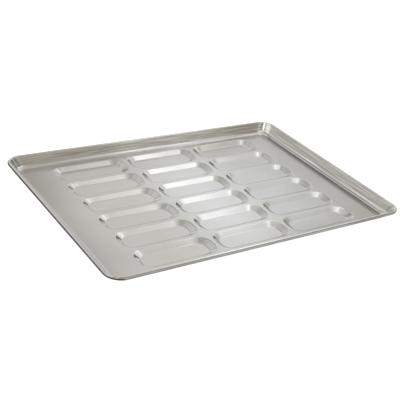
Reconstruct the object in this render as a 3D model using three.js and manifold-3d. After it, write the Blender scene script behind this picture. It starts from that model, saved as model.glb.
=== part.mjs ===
// Hot dog bun pan: a full-size baking sheet with rows of shallow oblong bun moulds pressed into its floor.
// One steel sheet makes the moulds, the floor, the flared walls and the rim, which is rolled over a wire.
// Millimetres, +Z up, +X along the long side. The origin is the middle of the plane the moulds stand on.
import * as THREE from 'three';
import Module from 'manifold-3d';

// Tray
const panLength = 660.4; // over the rim, along X
const panWidth = 457.2; // over the rim, along Y
const rimHeight = 22.2; // tray floor to the top of the rim
const rimCorner = 31; // plan radius of the rim's outer corners
const sheet = 0.9; // thickness of the steel sheet
const wallAngle = 60; // degrees between the floor and the wall
const footRadius = 12; // inside bend from floor to wall

// Rolled rim and the wire inside it
const wireDiameter = 4.76;
const wireClearance = 0.3; // from the wire to the rolled sheet around it
const wireEndGap = 3; // between the two butted wire ends
const rolledEdgeGap = 0.6; // from the rolled edge to the wall that it turns back to

// Moulds: a grid of oblong recesses with round ends, centred on the tray, as many as its floor takes
const mouldLength = 159.6; // mouth, at the level of the tray floor
const mouldWidth = 60.4;
const mouldDepth = 6.9;
const mouldSideRun = 12.9; // plan width of the sloping wall along the sides
const mouldEndRun = 13.4; // and at the middle of the round ends
const mouldEndPower = 2.7; // superellipse power of the round ends: 2 is a half circle, more is squarer
const columnLand = 6.4; // flat floor between mouths, end to end
const rowLand = 4.9; // and side to side
const floorMargin = 6; // least flat floor between a mouth and the wall's bend
const mouthRadius = 4.2; // rounded lip between tray floor and mould wall
const mouldFootRadius = 3.6; // inside bend between mould wall and mould floor

// Facets of each rounded form
const cornerArcs = 3; // pairs of facets in one plan corner
const mouldEndArcs = 4; // facets in each half of a round mould end
const bendFacets = 3; // facets of one bend on the upper face of the sheet
const underBendFacets = 2; // and on its underside
const rollFacets = 11; // facets round the rolled rim
const wireFacets = 10; // facets round the wire

const rollRadius = wireDiameter / 2 + wireClearance + sheet;
const wallSlope = THREE.MathUtils.degToRad(wallAngle);
const rollCentre = new THREE.Vector2(rollRadius, rimHeight - rollRadius); // inset from the rim's edge, height
const rollStart = Math.PI / 2 - wallSlope;
const rollEnd = rollStart + 2 * Math.PI - Math.acos((rollRadius - sheet - rolledEdgeGap) / rollRadius);
const rollLead = new THREE.Vector2(Math.cos(rollStart), Math.sin(rollStart)).multiplyScalar(rollRadius);
const wallTop = rollCentre.clone().add(rollLead);
const floorInset = wallTop.x + wallTop.y / Math.tan(wallSlope) + footRadius * Math.tan(wallSlope / 2);
const columnPitch = mouldLength + columnLand;
const rowPitch = mouldWidth + rowLand;
const mouldColumns = Math.floor((panLength - 2 * (floorInset + floorMargin) + columnLand) / columnPitch);
const mouldRows = Math.floor((panWidth - 2 * (floorInset + floorMargin) + rowLand) / rowPitch);
const standHeight = mouldDepth + sheet;

const wasm = await Module();
wasm.setup();

// Closed solid through a row of convex rings with equally many points, capped at its first and last ring.
function loft(rings) {
  const count = rings[0].length;
  const positions = rings.flat().flatMap((point) => point.toArray());
  const faces = [];
  for (let i = 1; i < count - 1; i += 1) {
    const last = (rings.length - 1) * count;
    faces.push(0, i + 1, i);
    faces.push(last, last + i, last + i + 1);
  }
  for (let r = 0; r < rings.length - 1; r += 1) {
    for (let i = 0; i < count; i += 1) {
      const a = r * count + i;
      const b = r * count + ((i + 1) % count);
      faces.push(a, b, b + count);
      faces.push(a, b + count, a + count);
    }
  }
  const geometry = new THREE.BufferGeometry();
  geometry.setAttribute('position', new THREE.Float32BufferAttribute(positions, 3));
  geometry.setIndex(faces);
  return geometry;
}

function toSolid(geometry) {
  return new wasm.Manifold(
    new wasm.Mesh({
      numProp: 3,
      vertProperties: new Float32Array(geometry.getAttribute('position').array),
      triVerts: new Uint32Array(geometry.getIndex().array),
    }),
  );
}

function toGeometry(solid) {
  const mesh = solid.getMesh();
  const geometry = new THREE.BufferGeometry();
  geometry.setAttribute('position', new THREE.Float32BufferAttribute(mesh.vertProperties, 3));
  geometry.setIndex(Array.from(mesh.triVerts));
  geometry.computeVertexNormals();
  return geometry;
}

// Plan points at height z, anticlockwise.
function ringAt(points, z) {
  return points.map((point) => new THREE.Vector3(point.x, point.y, z));
}

// Plan outline that lies inset from the rim's outer edge. Its corners are parallel to the rim's through the
// rolled part, and below it the wall keeps the radius that it has under the roll.
function trayOutline(inset) {
  const radius = rimCorner - Math.min(inset, 2 * rollRadius);
  const x = panLength / 2 - inset - radius;
  const y = panWidth / 2 - inset - radius;
  const path = new THREE.Path();
  path.absarc(x, y, radius, 0, Math.PI / 2);
  path.absarc(-x, y, radius, Math.PI / 2, Math.PI);
  path.absarc(-x, -y, radius, Math.PI, 1.5 * Math.PI);
  path.absarc(x, -y, radius, 1.5 * Math.PI, 2 * Math.PI);
  return path.getPoints(cornerArcs);
}

// Plan outline of a mould: two straight sides, joined by half superellipses as deep as half the width.
function mouldOutline(length, width) {
  const straight = (length - width) / 2;
  const root = 2 / mouldEndPower;
  const end = [];
  for (let i = -mouldEndArcs; i <= mouldEndArcs; i += 1) {
    const turn = ((i / mouldEndArcs) * Math.PI) / 2;
    const along = Math.abs(Math.cos(turn)) ** root;
    const across = Math.sign(i) * Math.abs(Math.sin(turn)) ** root;
    end.push(new THREE.Vector2(straight + (along * width) / 2, (across * width) / 2));
  }
  return [...end, ...end.map((point) => point.clone().negate())];
}

// Arc of a section as points, angle 0 along the first axis of the section.
function sectionArc(centre, radius, from, to, facets) {
  const arc = new THREE.EllipseCurve(centre.x, centre.y, radius, radius, from, to, to < from);
  return arc.getPoints(facets);
}

// One face of the wall's section as (inset, height) points, from the floor up and round the wire to the edge.
// Depth is how far the face lies behind the inside face: 0 for the inside, sheet for the outside.
function wallFace(depth, facets) {
  const foot = new THREE.Vector2(floorInset, footRadius);
  const bend = sectionArc(foot, footRadius + depth, -Math.PI / 2, -Math.PI / 2 - wallSlope, facets);
  const roll = sectionArc(rollCentre, rollRadius - depth, rollStart, rollEnd, rollFacets);
  return [...bend, ...roll];
}

function traySolid() {
  const section = [...wallFace(sheet, underBendFacets), ...wallFace(0, bendFacets).reverse()];
  return toSolid(loft(section.map((point) => ringAt(trayOutline(point.x), point.y))));
}

// One face of the mould's section as (run, height) points, from the lip inward and down to the mould floor.
function mouldFace(depth, facets) {
  const bendLimit = (mouldSideRun ** 2 / mouldDepth + mouldDepth) / 2; // bends with no straight between them
  const bendScale = Math.min(1, bendLimit / (mouthRadius + mouldFootRadius));
  const lip = mouthRadius * bendScale;
  const foot = mouldFootRadius * bendScale;
  const spare = Math.max(0, mouldSideRun ** 2 - (2 * (lip + foot) - mouldDepth) * mouldDepth);
  const slope = 2 * Math.atan(mouldDepth / (mouldSideRun + Math.sqrt(spare)));
  const up = Math.PI / 2;
  const lipBend = sectionArc(new THREE.Vector2(0, -lip), lip - depth, up, up - slope, facets);
  const footCentre = new THREE.Vector2(mouldSideRun, foot - mouldDepth);
  const footBend = sectionArc(footCentre, foot + depth, -up - slope, -up, facets);
  return [...lipBend, ...footBend];
}

// Solid that fills one face of the mould, with a straight collar at its mouth up to the given height.
function mouldBody(depth, facets, collarTop) {
  const section = [new THREE.Vector2(0, collarTop), ...mouldFace(depth, facets)].reverse();
  const rings = section.map((point) => {
    const length = mouldLength - (2 * mouldEndRun * point.x) / mouldSideRun;
    const width = mouldWidth - 2 * point.x;
    return ringAt(mouldOutline(length, width), point.y);
  });
  return loft(rings);
}

function mouldCentres() {
  const centres = [];
  for (let column = 0; column < mouldColumns; column += 1) {
    for (let row = 0; row < mouldRows; row += 1) {
      const x = (column - (mouldColumns - 1) / 2) * columnPitch;
      const y = (row - (mouldRows - 1) / 2) * rowPitch;
      centres.push(new THREE.Vector2(x, y));
    }
  }
  return centres;
}

function panSheetGeometry() {
  const outside = mouldBody(sheet, underBendFacets, -sheet / 2);
  const inside = mouldBody(0, bendFacets, sheet);
  let pan = traySolid();
  for (const centre of mouldCentres()) {
    pan = pan.add(toSolid(outside.clone().translate(centre.x, centre.y, 0)));
  }
  for (const centre of mouldCentres()) {
    pan = pan.subtract(toSolid(inside.clone().translate(centre.x, centre.y, 0)));
  }
  return toGeometry(pan);
}

// Wire centre line from one butted end, round all four corners, to the other end. They meet at the back.
function wirePath() {
  const corners = trayOutline(rollRadius);
  const perCorner = 2 * cornerArcs + 1;
  const fromBack = [...corners.slice(perCorner), ...corners.slice(0, perCorner)];
  const back = panWidth / 2 - rollRadius;
  const first = new THREE.Vector2(-wireEndGap / 2, back);
  const last = new THREE.Vector2(wireEndGap / 2, back);
  return [first, ...fromBack, last];
}

function rimWireGeometry() {
  const path = wirePath();
  const centre = new THREE.Vector2();
  const circle = sectionArc(centre, wireDiameter / 2, 0, 2 * Math.PI, wireFacets).slice(0, -1);
  const rings = path.map((point, i) => {
    const before = path[Math.max(i - 1, 0)];
    const after = path[Math.min(i + 1, path.length - 1)];
    const side = after.clone().sub(before).rotateAround(centre, Math.PI / 2).normalize();
    return circle.map((spot) => {
      const place = side.clone().multiplyScalar(spot.x).add(point);
      return new THREE.Vector3(place.x, place.y, rollCentre.y + spot.y);
    });
  });
  const geometry = loft(rings);
  geometry.computeVertexNormals();
  return geometry;
}

function part(name, geometry, color, roughness, metalness) {
  const mesh = new THREE.Mesh(geometry, new THREE.MeshStandardMaterial({ color, roughness, metalness }));
  mesh.name = name;
  return mesh;
}

const pan = new THREE.Group();
pan.position.z = standHeight;
pan.add(part('pan_sheet', panSheetGeometry(), 0xbcbcb8, 0.32, 0.95));
pan.add(part('rim_wire', rimWireGeometry(), 0x8e9194, 0.45, 0.9));

export default pan;
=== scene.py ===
import math

import bpy
from mathutils import Matrix, Vector


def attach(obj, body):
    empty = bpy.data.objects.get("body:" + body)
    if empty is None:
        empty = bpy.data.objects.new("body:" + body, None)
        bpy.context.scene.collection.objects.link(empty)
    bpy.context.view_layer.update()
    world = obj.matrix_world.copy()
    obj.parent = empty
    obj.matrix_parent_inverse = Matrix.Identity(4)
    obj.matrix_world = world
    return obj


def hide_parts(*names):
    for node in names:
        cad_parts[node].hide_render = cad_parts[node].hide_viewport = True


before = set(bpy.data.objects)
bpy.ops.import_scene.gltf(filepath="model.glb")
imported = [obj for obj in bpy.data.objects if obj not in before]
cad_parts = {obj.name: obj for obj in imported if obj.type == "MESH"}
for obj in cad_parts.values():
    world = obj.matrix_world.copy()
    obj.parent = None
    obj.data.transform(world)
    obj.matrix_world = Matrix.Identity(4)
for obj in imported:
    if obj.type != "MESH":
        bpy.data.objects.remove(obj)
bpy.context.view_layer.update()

MM = 0.001

# Tray, in millimetres
PAN_LENGTH = 660.4  # over the rim, along X
PAN_WIDTH = 457.2  # over the rim, along Y
RIM_HEIGHT = 22.2  # tray floor to the top of the rim
RIM_CORNER = 31.0  # plan radius of the rim's outer corners
SHEET = 0.9  # thickness of the steel sheet
WALL_ANGLE = 60.0  # degrees between the floor and the wall
FOOT_RADIUS = 12.0  # inside bend from floor to wall

# Rolled rim and the wire inside it, in millimetres
WIRE_DIAMETER = 4.76
WIRE_CLEARANCE = 0.3  # from the wire to the rolled sheet around it
WIRE_END_GAP = 3.0  # between the two butted wire ends
ROLLED_EDGE_GAP = 0.6  # from the rolled edge to the wall that it turns back to

# Moulds, in millimetres
COLUMNS = 3
ROWS = 6
COLUMN_PITCH = 166.0  # between the middles of neighbouring moulds, along X
ROW_PITCH = 65.3  # and along Y
MOULD_LENGTH = 159.6  # mouth, at the level of the tray floor
MOULD_WIDTH = 60.4
MOULD_DEPTH = 6.9
MOULD_SIDE_RUN = 12.9  # plan width of the sloping wall along the sides
MOULD_END_RUN = 13.4  # and at the middle of the round ends
MOULD_END_POWER = 2.7  # superellipse power of the round ends
MOUTH_RADIUS = 4.2  # rounded lip between tray floor and mould wall
MOULD_FOOT_RADIUS = 3.6  # inside bend between mould wall and mould floor

# Mesh divisions
STRAIGHT = 12  # along a mould's straight side
DIAGONAL = 7  # from a straight side to the diagonal of a round end
NOSE = 14  # across the nose of a round end, diagonal to diagonal
BEND = 7  # over one bend of a mould
CORNER = 12  # round one corner of the tray
WALL_BEND = 9  # over the bend from floor to wall
ROLL = 30  # round the rolled rim
WIRE_SIDES = 20  # round the wire
SUPPORT = 0.5  # millimetres, width of the narrow ring that ends each flat area
FLOOR_RINGS = (0.17, 0.34, 0.5)  # insets of the rings on a mould floor, as shares of its width
MARGIN_RINGS = (0.33, 0.67)  # rings between the grid of moulds and the wall's bend, as shares of the way
JOIN_DIGITS = 3  # decimals of a millimetre to which joined vertices agree

# Sizes that follow, in millimetres and radians
WALL_SLOPE = math.radians(WALL_ANGLE)
ROLL_RADIUS = WIRE_DIAMETER / 2 + WIRE_CLEARANCE + SHEET
ROLL_INSET = ROLL_RADIUS
ROLL_HEIGHT = RIM_HEIGHT - ROLL_RADIUS
ROLL_START = math.pi / 2 - WALL_SLOPE
ROLL_OPENING = math.acos((ROLL_RADIUS - SHEET - ROLLED_EDGE_GAP) / ROLL_RADIUS)
ROLL_END = ROLL_START + 2 * math.pi - ROLL_OPENING
WALL_TOP_INSET = ROLL_INSET + ROLL_RADIUS * math.cos(ROLL_START)
WALL_TOP_HEIGHT = ROLL_HEIGHT + ROLL_RADIUS * math.sin(ROLL_START)
WALL_RUN = WALL_TOP_HEIGHT / math.tan(WALL_SLOPE)
FLOOR_INSET = WALL_TOP_INSET + WALL_RUN + FOOT_RADIUS * math.tan(WALL_SLOPE / 2)
STAND_HEIGHT = MOULD_DEPTH + SHEET
GRID_X = COLUMNS * COLUMN_PITCH / 2
GRID_Y = ROWS * ROW_PITCH / 2
CELL_STEPS = 2 * DIAGONAL + STRAIGHT  # along the long side of one mould's cell

# Steel: heights and depths in millimetres, a noise as its scale per metre, detail and roughness,
# a colour ramp as two stops with their positions and colours
TONE_NOISE = (9.0, 4.0, 0.55)
TONE_STOPS = ((0.3, (0.69, 0.69, 0.685)), (0.7, (0.75, 0.748, 0.74)))
LINED_HEIGHTS = (12.0, 27.0)  # between which the wall shows drawing lines
LINE_FADE = 2.0
LINE_STRETCH = (12.0, 12.0, 420.0)
LINE_NOISE = (1.0, 2.0, 0.5)
LINE_STOPS = ((0.38, (0.56, 0.555, 0.545)), (0.64, (0.84, 0.838, 0.83)))
LINE_DEPTH = 0.12
CREST_HIGHLIGHT_HEIGHTS = (29.2, 29.8)  # over which the rim's top turns to a painted highlight
CREST_HIGHLIGHT_COLOUR = (0.87, 0.868, 0.86)
GRAIN_STRETCH = (60.0, 900.0, 900.0)  # rolling grain along the pan
GRAIN_NOISE = (1.0, 3.0, 0.5)
GRAIN_DEPTH = 0.03
GRAIN_STRENGTH = 0.2
SMEAR_NOISE = (16.0, 5.0, 0.6)
SMEAR_RANGE = (0.6, 1.4)  # of grain and smear added together
STEEL_ROUGHNESS = (0.14, 0.20)  # over that range
WAVE_NOISE = (14.0, 1.0, 0.5)  # the sheet isn't quite even
WAVE_DEPTH = 0.1
WAVE_STRENGTH = 1.0

# Wire
WIRE_NOISE = (180.0, 4.0, 0.5)
WIRE_STOPS = ((0.0, (0.36, 0.36, 0.37)), (1.0, (0.56, 0.56, 0.57)))
WIRE_ROUGHNESS = (0.35, 0.55)

# Floor
FLOOR_HALF = 6.0  # metres
FLOOR_GAP = 0.5  # millimetres below the moulds
FLOOR_COLOUR = (0.75, 0.79, 0.86)
FLOOR_GLOW = 0.82  # as the camera sees it
MIRRORED_GLOW = 0.55  # as the metal mirrors it, away from the pan
SHADE_REACH = 0.5  # metres that the pan's shade runs out over the floor that the metal mirrors
SHADE_END = (-6.0, -12.0)  # millimetres out from the pan's edge over which that painted shade gives way to painted light below the pan
MIRRORED_SHADE_COLOUR = (0.10, 0.10, 0.10)  # painted shade, as the left rim mirrors it
DARK_FLOOR = (-285.0, -310.0)  # millimetres, x over which the mirrored floor turns to that painted shade

# Room around the set, by direction
FRONT_LEVEL = (0.446, 0.417, 0.354)
BACK_LEVEL = (0.522, 0.502, 0.462)
BELOW_LEVEL = (1.0, 1.0, 1.0)
FRONT_TO_BACK = (-0.55, -0.05)  # y over which the front turns to the back
LEVEL_TO_BELOW = (0.0, -0.04)  # z over which the room turns to what is below it
# Dark cards: direction, degrees from it to full and to no shade, level
CARDS = [
    ((0.012, 0.606, 0.773), 1, 11.8, (0.288, 0.274, 0.231)),  # high behind
    ((-0.04, -0.64, 0.76), 1, 17.0, (0.085, 0.06, 0.02)),  # high in front
    ((-0.338, 0.586, 0.107), 1, 19.6, (0.06, 0.05, 0.05)),  # low behind, to the left
    ((0.632, -0.254, 0.380), 1, 22.0, (0.08, 0.06, 0.03)),  # at the right, to the front
    ((0.16, 0.625, 0.765), 3, 12.0, (0.09, 0.08, 0.07)),  # high behind, to the right
    ((0.335, 0.83, 0.445), 1, 6.0, (0.42, 0.39, 0.345)),  # behind, to the right
]
# Soft panels: direction, degrees from it to full and to no light, added level
PANELS = [
    ((1.141, 1.138, -0.801), 1, 60.0, (0.325, 0.338, 0.355)),  # wide and low, behind to the right
    ((-0.598, 1.074, 0.886), 1, 24.2, (0.214, 0.232, 0.230)),  # high behind, to the left
    ((0.481, -0.062, 0.883), 1, 8.0, (0.321, 0.306, 0.278)),  # overhead, to the right
    ((-0.897, 0.151, 1.008), 1, 27.1, (0.599, 0.603, 0.581)),  # high at the left
    ((0.240, 1.611, 0.412), 1, 14.4, (0.261, 0.288, 0.322)),  # low behind
    ((-0.632, -0.937, 1.470), 1, 8.0, (1.99, 2.06, 2.00)),  # high in front, to the left
]
# Dark flags, given like the cards, which hang in front of those panels, low behind the right corner
FLAGS = [
    ((0.86, 0.50, 0.08), 8, 20.0, (0.12, 0.12, 0.12)),
    ((0.76, 0.65, 0.03), 8, 18.0, (0.10, 0.10, 0.10)),
    ((0.98, 0.15, 0.05), 6, 15.0, (0.10, 0.10, 0.10)),
]

# Flat lamps that face down: name, place in metres, degrees of turn, size in metres, radiance, colour
WHITE = (1.0, 1.0, 1.0)
LAMPS = [
    ("strip", (0.422, -0.008, 0.690), 5.9, (0.206, 0.586), 0.335, (0.93, 0.93, 1.0)),
    ("back_strip", (0.871, 0.885, 0.630), 0.8, (0.563, 0.592), 0.298, (0.75, 0.82, 1.0)),
    ("left_box", (0.140, -0.033, 0.450), 6.5, (0.289, 0.400), 0.205, (0.88, 0.97, 1.0)),
    ("back_box", (0.884, 1.262, 1.000), -3.8, (0.807, 1.415), 0.242, (0.955, 1.0, 1.0)),
    ("front_box", (0.487, -0.179, 0.500), 8.1, (0.382, 0.582), 0.281, (0.80, 0.89, 1.0)),
    ("far_strip", (0.100, 1.351, 1.128), -6.8, (0.265, 1.581), 0.248, (0.80, 0.835, 1.0)),
    ("right_strip", (1.600, 0.500, 1.000), 0.0, (1.200, 0.250), 0.90, WHITE),
    ("left_hook_strip", (0.770, 0.500, 1.000), 0.0, (0.240, 0.250), 0.90, WHITE),
    ("hook_strip", (0.284, -0.060, 0.620), 5.9, (0.080, 0.450), 0.50, WHITE),
    ("back_hook_strip", (0.477, 0.080, 0.620), 3.0, (0.060, 0.200), 0.72, WHITE),
    ("wall_strip", (-0.236, 0.865, 0.904), -5.1, (0.060, 1.317), 0.431, (0.91, 0.935, 1.0)),
]

# Camera: fitted to the rim's four edges and the grid of moulds in the photograph
AZIMUTH = math.radians(-37.2909)
ELEVATION = math.radians(28.2418)
ROLL_ANGLE = math.radians(8.7365)
DISTANCE = 1600.4362 * MM
TARGET = Vector((-22.0962 * MM, -20.2105 * MM, STAND_HEIGHT * MM))
LENS = 73.346  # millimetres
SENSOR = 36.0  # millimetres
CLIP = (0.05, 50.0)  # metres


def spread(a, b, count):
    """Values from a to b in equal steps."""
    return [a + (b - a) * i / count for i in range(count + 1)]


def with_opposite(half):
    """Whole plan ring from the points of one half."""
    return half + [(-x, -y) for x, y in half]


def at_height(ring, z):
    return [(x, y, z) for x, y in ring]


def add_object(name, data):
    obj = bpy.data.objects.new(name, data)
    bpy.context.scene.collection.objects.link(obj)
    return obj


class Sheet:
    """Vertices and faces of a mesh, in millimetres from the tray floor up, joined where they meet."""

    def __init__(self):
        self.index = {}
        self.points = []
        self.faces = []

    def vertex(self, p):
        key = tuple(round(c, JOIN_DIGITS) for c in p)
        if key not in self.index:
            self.index[key] = len(self.points)
            self.points.append((p[0] * MM, p[1] * MM, (p[2] + STAND_HEIGHT) * MM))
        return self.index[key]

    def face(self, corners):
        ids = []
        for p in corners:
            v = self.vertex(p)
            if v not in ids:
                ids.append(v)
        if len(ids) > 2:
            self.faces.append(ids)

    def band(self, outer, inner, flip=False):
        count = len(outer)
        for i in range(count):
            j = (i + 1) % count
            corners = [outer[i], outer[j], inner[j], inner[i]]
            self.face(corners[::-1] if flip else corners)

    def piece(self, name, material):
        mesh = bpy.data.meshes.new(name)
        mesh.from_pydata(self.points, [], self.faces)
        mesh.materials.append(material)
        mesh.polygons.foreach_set("use_smooth", [True] * len(mesh.polygons))
        mesh.update()
        return add_object(name, mesh)


# Plan rings of one mould and its cell, anticlockwise from the front left corner


def cell_side_x():
    """x of the points along a cell's long side, in step with those of the mould."""
    half = COLUMN_PITCH / 2
    end = (MOULD_LENGTH - MOULD_WIDTH) / 2
    left = spread(-half, -end, DIAGONAL)
    middle = spread(-end, end, STRAIGHT)
    right = spread(end, half, DIAGONAL)
    return left[:-1] + middle[:-1] + right


def cell_ring():
    x, y = COLUMN_PITCH / 2, ROW_PITCH / 2
    front = [(v, -y) for v in cell_side_x()[:-1]]
    right = [(x, v) for v in spread(-y, y, NOSE)[:-1]]
    return with_opposite(front + right)


def mould_ring(length, width):
    """Straight sides with half superellipses at the ends."""
    radius = width / 2
    end = (length - width) / 2
    root = 2 / MOULD_END_POWER
    diagonal, side = math.pi / 4, math.pi / 2

    def arc(a, b, count):
        points = []
        for t in spread(a, b, count):
            along = abs(math.cos(t)) ** root
            across = math.copysign(abs(math.sin(t)) ** root, t)
            points.append((end + radius * along, radius * across))
        return points

    left_front = [(-x, y) for x, y in arc(-diagonal, -side, DIAGONAL)]
    straight = [(x, -radius) for x in spread(-end, end, STRAIGHT)]
    right_front = arc(-side, -diagonal, DIAGONAL)
    nose = arc(-diagonal, diagonal, NOSE)
    return with_opposite(left_front[:-1] + straight[:-1] + right_front[:-1] + nose[:-1])


def mould_section(depth):
    """(run, height) points of one face of the mould, from the lip inward and down to the mould floor."""
    run, fall = MOULD_SIDE_RUN, MOULD_DEPTH
    lip, foot = MOUTH_RADIUS, MOULD_FOOT_RADIUS
    spare = run**2 - (2 * (lip + foot) - fall) * fall
    slope = 2 * math.atan(fall / (run + math.sqrt(spare)))
    points = []
    reach = lip - depth
    for t in spread(0, slope, BEND):
        points.append((reach * math.sin(t), reach * math.cos(t) - lip))
    reach = foot + depth
    for t in spread(slope, 0, BEND):
        points.append((run - reach * math.sin(t), foot - fall - reach * math.cos(t)))
    return points


def mould_rings(depth):
    """Rings of one face, from the edge of the cell to the middle of the mould floor."""
    lip = mould_ring(MOULD_LENGTH + 2 * SUPPORT, MOULD_WIDTH + 2 * SUPPORT)
    rings = [at_height(cell_ring(), -depth), at_height(lip, -depth)]
    for run, height in mould_section(depth):
        length = MOULD_LENGTH - 2 * MOULD_END_RUN * run / MOULD_SIDE_RUN
        rings.append(at_height(mould_ring(length, MOULD_WIDTH - 2 * run), height))
    length = MOULD_LENGTH - 2 * MOULD_END_RUN
    width = MOULD_WIDTH - 2 * MOULD_SIDE_RUN
    for inset in [SUPPORT] + [width * share for share in FLOOR_RINGS]:
        ring = mould_ring(length - 2 * inset, width - 2 * inset)
        rings.append(at_height(ring, -MOULD_DEPTH - depth))
    return rings


# Plan rings of the tray, in step with the grid of mould cells inside them


def column_x(column):
    return (column - (COLUMNS - 1) / 2) * COLUMN_PITCH


def row_y(row):
    return (row - (ROWS - 1) / 2) * ROW_PITCH


def grid_ring(corner_points):
    """Edge of the grid of cells, its corners repeated to give the points of the tray's round corners."""
    side = cell_side_x()
    xs = [side[0] + column_x(0)]
    for column in range(COLUMNS):
        xs += [v + column_x(column) for v in side[1:]]
    ys = spread(-GRID_Y, GRID_Y, ROWS * NOSE)
    x, y = xs[-1], ys[-1]
    front = [(v, -y) for v in xs] + [(x, -y)] * corner_points
    right = [(x, v) for v in ys] + [(x, y)] * corner_points
    return with_opposite(front + right)


def tray_ring(inset):
    """Outline that lies inset from the rim's edge, its corners parallel to the rim's through the roll."""
    radius = RIM_CORNER - min(inset, 2 * ROLL_RADIUS)
    x = PAN_LENGTH / 2 - inset - radius
    y = PAN_WIDTH / 2 - inset - radius
    grid = grid_ring(0)
    across = COLUMNS * CELL_STEPS + 1

    def corner(centre_y, start):
        turns = spread(start, start + math.pi / 2, CORNER)[1:-1]
        return [(x + radius * math.cos(t), centre_y + radius * math.sin(t)) for t in turns]

    front = [(v * x / GRID_X, -y - radius) for v, _ in grid[:across]]
    right = [(x + radius, v * y / GRID_Y) for _, v in grid[across : len(grid) // 2]]
    return with_opposite(front + corner(-y, -math.pi / 2) + right + corner(y, 0))


def wall_section(depth):
    """(inset, height) points of one face of the wall, from the floor up and round to the rolled edge."""
    points = []
    reach = FOOT_RADIUS + depth
    for t in spread(0, WALL_SLOPE, WALL_BEND):
        points.append((FLOOR_INSET - reach * math.sin(t), FOOT_RADIUS - reach * math.cos(t)))
    reach = ROLL_RADIUS - depth
    for t in spread(ROLL_START, ROLL_END, ROLL):
        points.append((ROLL_INSET + reach * math.cos(t), ROLL_HEIGHT + reach * math.sin(t)))
    return points


def tray_rings(depth):
    """Rings of one face, from the edge of the grid out to the rolled edge."""
    grid = at_height(grid_ring(CORNER - 1), -depth)
    edge = at_height(tray_ring(FLOOR_INSET + SUPPORT), -depth)
    rings = [grid]
    for share in MARGIN_RINGS:
        rings.append([tuple(a + (b - a) * share for a, b in zip(p, q)) for p, q in zip(grid, edge)])
    rings.append(edge)
    for inset, height in wall_section(depth):
        rings.append(at_height(tray_ring(inset), height))
    return rings


# Pieces


def pan_sheet(material):
    """One pressed sheet: its upper face, its underside and the rolled edge that joins them."""
    sheet = Sheet()
    for depth in (0.0, SHEET):
        under = depth > 0
        mould = mould_rings(depth)
        for column in range(COLUMNS):
            for row in range(ROWS):
                dx, dy = column_x(column), row_y(row)
                placed = [[(x + dx, y + dy, z) for x, y, z in ring] for ring in mould]
                for outer, inner in zip(placed, placed[1:]):
                    sheet.band(outer, inner, flip=under)
        tray = tray_rings(depth)
        for inner, outer in zip(tray, tray[1:]):
            sheet.band(outer, inner, flip=under)
    sheet.band(tray_rings(SHEET)[-1], tray_rings(0.0)[-1])
    return sheet.piece("pressed_pan", material)


def wire_path():
    """Centre line of the wire, from one butted end round the rim to the other."""
    ring = tray_ring(ROLL_INSET)
    back = PAN_WIDTH / 2 - ROLL_INSET
    middle = min(range(len(ring)), key=lambda i: ring[i][0] ** 2 + (ring[i][1] - back) ** 2)
    first, last = (-WIRE_END_GAP / 2, back), (WIRE_END_GAP / 2, back)
    return [first] + ring[middle + 1 :] + ring[:middle] + [last]


def rim_wire(material):
    """One round wire inside the roll, with its two ends butted at the middle of the back side."""
    path = wire_path()
    radius = WIRE_DIAMETER / 2
    rings = []
    for i, (x, y) in enumerate(path):
        a = path[max(i - 1, 0)]
        b = path[min(i + 1, len(path) - 1)]
        along = Vector((b[0] - a[0], b[1] - a[1])).normalized()
        ring = []
        for t in spread(0, 2 * math.pi, WIRE_SIDES)[:-1]:
            out, up = radius * math.cos(t), radius * math.sin(t)
            ring.append((x + along.y * out, y - along.x * out, ROLL_HEIGHT + up))
        rings.append(ring)
    wire = Sheet()
    for a, b in zip(rings, rings[1:]):
        wire.band(a, b)
    wire.face(rings[0][::-1])
    wire.face(rings[-1])
    return wire.piece("drawn_wire", material)


# Materials

MIX_A, MIX_B, MIX_RESULT = 6, 7, 2  # colour sockets of a Mix node


class Nodes:
    """Short ways to add and link shader nodes. A value is a plain one or another node's output."""

    def __init__(self, tree):
        self.tree = tree
        tree.nodes.clear()

    def put(self, value, socket):
        if isinstance(value, bpy.types.NodeSocket):
            self.tree.links.new(value, socket)
        elif socket.type == "RGBA":
            socket.default_value = (*value, 1)
        else:
            socket.default_value = value

    def add(self, kind, inputs=None, **settings):
        node = self.tree.nodes.new(kind)
        for name, value in settings.items():
            setattr(node, name, value)
        for name, value in (inputs or {}).items():
            self.put(value, node.inputs[name])
        return node

    def axes(self, place):
        return self.add("ShaderNodeSeparateXYZ", {"Vector": place}).outputs

    def stretch(self, place, scale):
        return self.add("ShaderNodeMapping", {"Vector": place, "Scale": scale}).outputs["Vector"]

    def noise(self, place, scale, detail, roughness):
        inputs = {"Vector": place, "Scale": scale, "Detail": detail, "Roughness": roughness}
        return self.add("ShaderNodeTexNoise", inputs).outputs["Fac"]

    def ramp(self, value, stops):
        node = self.add("ShaderNodeValToRGB", {"Fac": value})
        for element, (position, colour) in zip(node.color_ramp.elements, stops):
            element.position = position
            element.color = (*colour, 1)
        return node.outputs["Color"]

    def ease(self, value, start, end):
        """0 at start, 1 at end, and a smooth step between them."""
        inputs = {"Value": value, "From Min": start, "From Max": end}
        return self.add("ShaderNodeMapRange", inputs, interpolation_type="SMOOTHSTEP").outputs["Result"]

    def rescale(self, value, source, target):
        """From one range to another, in proportion."""
        inputs = {"Value": value, "From Min": source[0], "From Max": source[1]}
        inputs.update({"To Min": target[0], "To Max": target[1]})
        return self.add("ShaderNodeMapRange", inputs).outputs["Result"]

    def calculate(self, operation, a, b=0.0):
        return self.add("ShaderNodeMath", {0: a, 1: b}, operation=operation).outputs[0]

    def mix(self, factor, a, b, blend="MIX"):
        inputs = {"Factor": factor, MIX_A: a, MIX_B: b}
        return self.add("ShaderNodeMix", inputs, data_type="RGBA", blend_type=blend).outputs[MIX_RESULT]

    def bump(self, height, depth, strength, over=None):
        """Normal of a relief, over the normal of another one if given."""
        inputs = {"Height": height, "Distance": depth * MM, "Strength": strength}
        if over is not None:
            inputs["Normal"] = over
        return self.add("ShaderNodeBump", inputs).outputs["Normal"]


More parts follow.
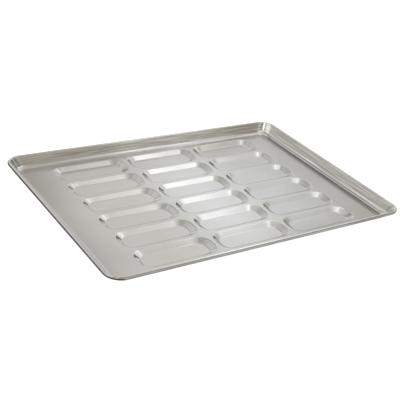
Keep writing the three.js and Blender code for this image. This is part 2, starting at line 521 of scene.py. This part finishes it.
def new_material(name):
    material = bpy.data.materials.new(name)
    material.use_nodes = True
    return material, Nodes(material.node_tree)


def steel_material():
    """Satin sheet with rolling grain, drawing lines on the tray's walls and a painted highlight along the
    rim's top.
    """
    material, nodes = new_material("satin_aluminised_steel")
    place = nodes.add("ShaderNodeTexCoord").outputs["Object"]
    height = nodes.axes(place)["Z"]
    low, high = LINED_HEIGHTS
    above_foot = nodes.ease(height, (low - LINE_FADE) * MM, low * MM)
    below_rim = nodes.ease(height, (high + LINE_FADE) * MM, high * MM)
    on_wall = nodes.calculate("MULTIPLY", above_foot, below_rim)
    # Where the painted highlight along the rim's top lies
    on_crest_highlight = nodes.ease(height, CREST_HIGHLIGHT_HEIGHTS[0] * MM, CREST_HIGHLIGHT_HEIGHTS[1] * MM)

    lines = nodes.noise(nodes.stretch(place, LINE_STRETCH), *LINE_NOISE)
    colour = nodes.ramp(nodes.noise(place, *TONE_NOISE), TONE_STOPS)
    colour = nodes.mix(on_wall, colour, nodes.ramp(lines, LINE_STOPS))
    # Painted highlight along the top of the rim
    colour = nodes.mix(on_crest_highlight, colour, CREST_HIGHLIGHT_COLOUR)

    grain = nodes.noise(nodes.stretch(place, GRAIN_STRETCH), *GRAIN_NOISE)
    smeared = nodes.calculate("ADD", grain, nodes.noise(place, *SMEAR_NOISE))
    roughness = nodes.rescale(smeared, SMEAR_RANGE, STEEL_ROUGHNESS)

    normal = nodes.bump(nodes.noise(place, *WAVE_NOISE), WAVE_DEPTH, WAVE_STRENGTH)
    normal = nodes.bump(grain, GRAIN_DEPTH, GRAIN_STRENGTH, over=normal)
    normal = nodes.bump(lines, LINE_DEPTH, on_wall, over=normal)

    inputs = {"Metallic": 1.0, "Base Color": colour, "Roughness": roughness, "Normal": normal}
    metal = nodes.add("ShaderNodeBsdfPrincipled", inputs)
    nodes.add("ShaderNodeOutputMaterial", {"Surface": metal.outputs["BSDF"]})
    return material


def wire_material():
    material, nodes = new_material("drawn_steel_wire")
    place = nodes.add("ShaderNodeTexCoord").outputs["Object"]
    mottle = nodes.noise(place, *WIRE_NOISE)
    colour = nodes.ramp(mottle, WIRE_STOPS)
    roughness = nodes.rescale(mottle, (0.0, 1.0), WIRE_ROUGHNESS)
    inputs = {"Metallic": 1.0, "Base Color": colour, "Roughness": roughness}
    metal = nodes.add("ShaderNodeBsdfPrincipled", inputs)
    nodes.add("ShaderNodeOutputMaterial", {"Surface": metal.outputs["BSDF"]})
    return material


def floor_material():
    """Matt floor that glows white. The metal mirrors it with painted shade, dim beside the pan and dark
    at the pan's left.
    """
    material, nodes = new_material("pale_floor")
    ray = nodes.add("ShaderNodeLightPath").outputs
    mirrored = nodes.calculate("MAXIMUM", ray["Is Glossy Ray"], ray["Is Transmission Ray"])
    place = nodes.axes(nodes.add("ShaderNodeTexCoord").outputs["Object"])
    out_x = nodes.calculate("SUBTRACT", nodes.calculate("ABSOLUTE", place["X"]), PAN_LENGTH * MM / 2)
    out_y = nodes.calculate("SUBTRACT", nodes.calculate("ABSOLUTE", place["Y"]), PAN_WIDTH * MM / 2)
    outside = nodes.calculate("MAXIMUM", out_x, out_y)
    # Painted shade on the mirrored floor beside the pan, and painted light on it again below the pan
    clear = nodes.ease(outside, 0.0, SHADE_REACH)
    below = nodes.ease(outside, SHADE_END[0] * MM, SHADE_END[1] * MM)
    # Painted shade on the mirrored floor at the pan's left, for the dark outer edge of the left rim
    left = nodes.ease(place["X"], DARK_FLOOR[0] * MM, DARK_FLOOR[1] * MM)

    dark = nodes.calculate("MULTIPLY", mirrored, left)
    matt = nodes.add("ShaderNodeBsdfDiffuse", {"Color": nodes.mix(dark, FLOOR_COLOUR, MIRRORED_SHADE_COLOUR)})
    lit = nodes.calculate("MULTIPLY", mirrored, nodes.calculate("MAXIMUM", clear, below))
    mirrored_glow = nodes.calculate("MULTIPLY", lit, MIRRORED_GLOW)
    seen_glow = nodes.calculate("MULTIPLY", ray["Is Camera Ray"], FLOOR_GLOW)
    strength = nodes.calculate("MAXIMUM", seen_glow, mirrored_glow)
    glow = nodes.add("ShaderNodeEmission", {"Strength": strength})
    both = nodes.add("ShaderNodeAddShader", {0: matt.outputs["BSDF"], 1: glow.outputs["Emission"]})
    nodes.add("ShaderNodeOutputMaterial", {"Surface": both.outputs["Shader"]})
    return material


# Studio


def studio_floor():
    mesh = bpy.data.meshes.new("floor")
    half = FLOOR_HALF
    corners = [(-half, -half, 0), (half, -half, 0), (half, half, 0), (-half, half, 0)]
    mesh.from_pydata(corners, [], [(0, 1, 2, 3)])
    mesh.materials.append(floor_material())
    obj = add_object("floor", mesh)
    obj.location.z = -FLOOR_GAP * MM
    return obj


def studio_world():
    """Room whose levels, cards, panels and flags the metal mirrors."""
    world = bpy.data.worlds.new("studio")
    bpy.context.scene.world = world
    world.use_nodes = True
    nodes = Nodes(world.node_tree)
    direction = nodes.add("ShaderNodeTexCoord").outputs["Generated"]
    axes = nodes.axes(direction)
    colour = nodes.mix(nodes.ease(axes["Y"], *FRONT_TO_BACK), FRONT_LEVEL, BACK_LEVEL)
    for rows, blend in ((CARDS, "MIX"), (PANELS, "ADD"), (FLAGS, "MIX")):
        for middle, full, last, level in rows:
            inputs = {0: direction, 1: Vector(middle).normalized()}
            dot = nodes.add("ShaderNodeVectorMath", inputs, operation="DOT_PRODUCT").outputs["Value"]
            near = nodes.ease(dot, math.cos(math.radians(last)), math.cos(math.radians(full)))
            colour = nodes.mix(near, colour, level, blend)
    colour = nodes.mix(nodes.ease(axes["Z"], *LEVEL_TO_BELOW), colour, BELOW_LEVEL)
    sky = nodes.add("ShaderNodeBackground", {"Color": colour, "Strength": 1.0})
    nodes.add("ShaderNodeOutputWorld", {"Surface": sky.outputs["Background"]})


def studio_lamp(name, place, turn, size, radiance, colour):
    data = bpy.data.lights.new(name, "AREA")
    data.shape = "RECTANGLE"
    data.size, data.size_y = size
    data.energy = radiance * math.pi * size[0] * size[1]
    data.color = colour
    lamp = add_object(name, data)
    lamp.location = place
    lamp.rotation_euler.z = math.radians(turn)
    lamp.visible_camera = False


def photo_camera():
    data = bpy.data.cameras.new("camera")
    data.sensor_width = SENSOR
    data.lens = LENS
    data.clip_start, data.clip_end = CLIP
    camera = add_object("camera", data)
    level = math.cos(ELEVATION)
    back = Vector((math.sin(AZIMUTH) * level, -math.cos(AZIMUTH) * level, math.sin(ELEVATION)))
    right = (-back).cross(Vector((0, 0, 1))).normalized()
    up = back.cross(right)
    right, up = (
        math.cos(ROLL_ANGLE) * right + math.sin(ROLL_ANGLE) * up,
        math.cos(ROLL_ANGLE) * up - math.sin(ROLL_ANGLE) * right,
    )
    turn = Matrix((right, up, back)).transposed().to_4x4()
    camera.matrix_world = Matrix.Translation(TARGET + back * DISTANCE) @ turn
    bpy.context.scene.camera = camera


pan = pan_sheet(steel_material())
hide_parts("pan_sheet")
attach(pan, "root")
wire = rim_wire(wire_material())
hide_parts("rim_wire")
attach(wire, "root")
floor = studio_floor()

studio_world()
for lamp in LAMPS:
    studio_lamp(*lamp)
photo_camera()

bpy.context.scene.view_settings.view_transform = "Standard"
